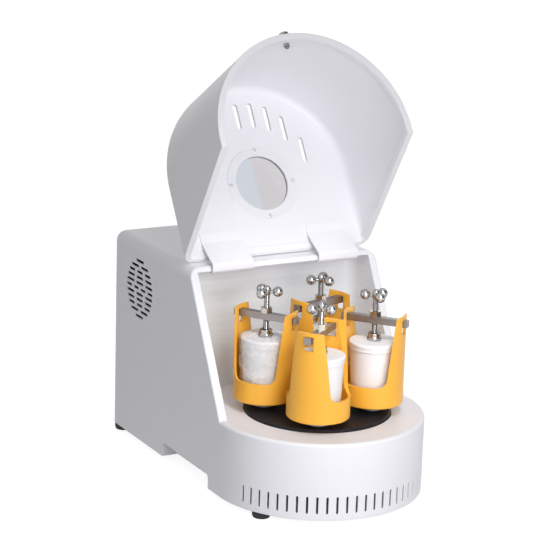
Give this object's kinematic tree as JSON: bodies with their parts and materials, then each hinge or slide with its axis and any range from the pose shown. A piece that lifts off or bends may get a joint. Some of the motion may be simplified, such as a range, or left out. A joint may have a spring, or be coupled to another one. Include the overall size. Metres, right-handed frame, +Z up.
{
  "type": "laboratory pulverizer",
  "caption": "Desktop planetary ball mill with an open hinged hood, clamped grinding jars on a turntable and a moulded casing.",
  "frame": {"origin": "on the bench plane, under the middle of the machine's length and width", "axes": "+Z up, +Y towards the rear panel, +X to the right seen from the front"},
  "size_m": [0.3, 0.5125, 0.6301],
  "materials": {
    "casing_white": "smooth gloss moulding",
    "liner_white": "satin powder coat",
    "hinge_white": "satin powder coat",
    "holder_orange": "satin coating",
    "disc_black": "matt black",
    "bar_steel": "brushed",
    "handle_chrome": "polished",
    "jar_ceramic": "fine matt",
    "window_glass": "clear",
    "ring_white": "gloss",
    "screw_steel": "zinc plated",
    "pull_metal": "turned",
    "gear_steel": "machined",
    "cast_grey": "cast",
    "pulley_aluminium": "machined",
    "motor_paint": "satin paint",
    "belt_rubber": "matt",
    "feet_rubber": "matt",
    "fan_black": "matt",
    "panel_grey": "fine texture",
    "display_dark": "gloss",
    "knob_black": "matt",
    "button_green": "gloss",
    "switch_black": "matt"
  },
  "bodies": {
    "casing": {"body_shell": "casing_white", "chamber_liner": "liner_white", "base_plate": "liner_white", "rubber_feet": "feet_rubber", "rear_panel": "liner_white", "casing_screws": "screw_steel", "power_inlet": "switch_black", "control_panel": "panel_grey", "display_window": "display_dark", "fan_frame": "fan_black", "drive_frame": "pulley_aluminium", "bearing_housing": "cast_grey", "main_bearings": "screw_steel", "sun_gear": "gear_steel", "drive_belt": "belt_rubber", "drive_motor": "motor_paint", "hinge_brackets": "gear_steel"},
    "turntable": {"turntable": "disc_black", "main_shaft": "gear_steel", "driven_pulley": "pulley_aluminium", "planet_bearings": "screw_steel"},
    "motor_rotor": {"motor_pulley": "pulley_aluminium"},
    "fan": {"fan_rotor": "fan_black"},
    "lid": {"lid_shell": "casing_white", "window_pane": "window_glass", "window_ring": "ring_white", "window_screws": "screw_steel", "lid_pull": "pull_metal", "hinge_arms": "hinge_white"},
    "knob": {"speed_knob": "knob_black"},
    "button": {"run_button": "button_green"},
    "rocker": {"power_switch": "knob_black"},
    "holder_front": {"jar_holder_front": "holder_orange", "jar_front": "jar_ceramic", "jar_lid_front": "jar_ceramic", "crossbar_front": "bar_steel", "planet_pinion_front": "gear_steel"},
    "foot_front": {"pressure_foot_front": "handle_chrome"},
    "screw_front": {"clamp_screw_front": "handle_chrome"},
    "holder_right": {"jar_holder_right": "holder_orange", "jar_right": "jar_ceramic", "jar_lid_right": "jar_ceramic", "crossbar_right": "bar_steel", "planet_pinion_right": "gear_steel"},
    "foot_right": {"pressure_foot_right": "handle_chrome"},
    "screw_right": {"clamp_screw_right": "handle_chrome"},
    "holder_back": {"jar_holder_back": "holder_orange", "jar_back": "jar_ceramic", "jar_lid_back": "jar_ceramic", "crossbar_back": "bar_steel", "planet_pinion_back": "gear_steel"},
    "foot_back": {"pressure_foot_back": "handle_chrome"},
    "screw_back": {"clamp_screw_back": "handle_chrome"},
    "holder_left": {"jar_holder_left": "holder_orange", "jar_left": "jar_ceramic", "jar_lid_left": "jar_ceramic", "crossbar_left": "bar_steel", "planet_pinion_left": "gear_steel"},
    "foot_left": {"pressure_foot_left": "handle_chrome"},
    "screw_left": {"clamp_screw_left": "handle_chrome"}
  },
  "joints": [
    {"name": "turntable_spin", "type": "hinge", "parent": "casing", "child": "turntable", "pos_m": [0, -0.1063, 0.115], "axis": [0, 0, 1], "continuous": true},
    {"name": "motor_spin", "type": "hinge", "parent": "casing", "child": "motor_rotor", "pos_m": [0, 0.1477, 0.03], "axis": [0, 0, 1], "continuous": true},
    {"name": "fan_spin", "type": "hinge", "parent": "casing", "child": "fan", "pos_m": [-0.135, 0.16125, 0.2393], "axis": [1, 0, 0], "continuous": true},
    {"name": "lid_hinge", "type": "hinge", "parent": "casing", "child": "lid", "pos_m": [0, 0.0128, 0.3037], "axis": [1, 0, 0], "range_deg": [0, 121.6]},
    {"name": "knob_turn", "type": "hinge", "parent": "casing", "child": "knob", "pos_m": [0.14, 0.12415, 0.21144], "axis": [1, 0, 0], "range_deg": [0, 270]},
    {"name": "button_press", "type": "slide", "parent": "casing", "child": "button", "axis": [-1, 0, 0], "range_m": [0, 0.0015], "stiffness_N_per_m": 500, "springref_m": -0.001},
    {"name": "rocker_tilt", "type": "hinge", "parent": "casing", "child": "rocker", "pos_m": [-0.08, 0.2513, 0.084], "axis": [-1, 0, 0], "range_deg": [0, 16]},
    {"name": "holder_spin_front", "type": "hinge", "parent": "turntable", "child": "holder_front", "pos_m": [-0.03716, -0.17145, 0.13], "axis": [0, 0, 1], "continuous": true},
    {"name": "foot_slide_front", "type": "slide", "parent": "holder_front", "child": "foot_front", "axis": [0, 0, 1], "range_m": [0, 0.006]},
    {"name": "screw_turn_front", "type": "hinge", "parent": "foot_front", "child": "screw_front", "pos_m": [-0.03716, -0.17145, 0.25], "axis": [0, 0, 1], "range_deg": [0, 1745]},
    {"name": "holder_spin_right", "type": "hinge", "parent": "turntable", "child": "holder_right", "pos_m": [0.06515, -0.14346, 0.13], "axis": [0, 0, 1], "continuous": true},
    {"name": "foot_slide_right", "type": "slide", "parent": "holder_right", "child": "foot_right", "axis": [0, 0, 1], "range_m": [0, 0.006]},
    {"name": "screw_turn_right", "type": "hinge", "parent": "foot_right", "child": "screw_right", "pos_m": [0.06515, -0.14346, 0.25], "axis": [0, 0, 1], "range_deg": [0, 1745]},
    {"name": "holder_spin_back", "type": "hinge", "parent": "turntable", "child": "holder_back", "pos_m": [0.03716, -0.04115, 0.13], "axis": [0, 0, 1], "continuous": true},
    {"name": "foot_slide_back", "type": "slide", "parent": "holder_back", "child": "foot_back", "axis": [0, 0, 1], "range_m": [0, 0.006]},
    {"name": "screw_turn_back", "type": "hinge", "parent": "foot_back", "child": "screw_back", "pos_m": [0.03716, -0.04115, 0.25], "axis": [0, 0, 1], "range_deg": [0, 1745]},
    {"name": "holder_spin_left", "type": "hinge", "parent": "turntable", "child": "holder_left", "pos_m": [-0.06515, -0.06914, 0.13], "axis": [0, 0, 1], "continuous": true},
    {"name": "foot_slide_left", "type": "slide", "parent": "holder_left", "child": "foot_left", "axis": [0, 0, 1], "range_m": [0, 0.006]},
    {"name": "screw_turn_left", "type": "hinge", "parent": "foot_left", "child": "screw_left", "pos_m": [-0.06515, -0.06914, 0.25], "axis": [0, 0, 1], "range_deg": [0, 1745]}
  ],
  "couplings": [
    {"joint": "motor_spin", "follows": "turntable_spin", "ratio": 2},
    {"joint": "holder_spin_front", "follows": "turntable_spin", "ratio": 2},
    {"joint": "screw_turn_front", "follows": "foot_slide_front", "rad_per_m": 5026.5},
    {"joint": "holder_spin_right", "follows": "turntable_spin", "ratio": 2},
    {"joint": "screw_turn_right", "follows": "foot_slide_right", "rad_per_m": 5026.5},
    {"joint": "holder_spin_back", "follows": "turntable_spin", "ratio": 2},
    {"joint": "screw_turn_back", "follows": "foot_slide_back", "rad_per_m": 5026.5},
    {"joint": "holder_spin_left", "follows": "turntable_spin", "ratio": 2},
    {"joint": "screw_turn_left", "follows": "foot_slide_left", "rad_per_m": 5026.5}
  ]
}
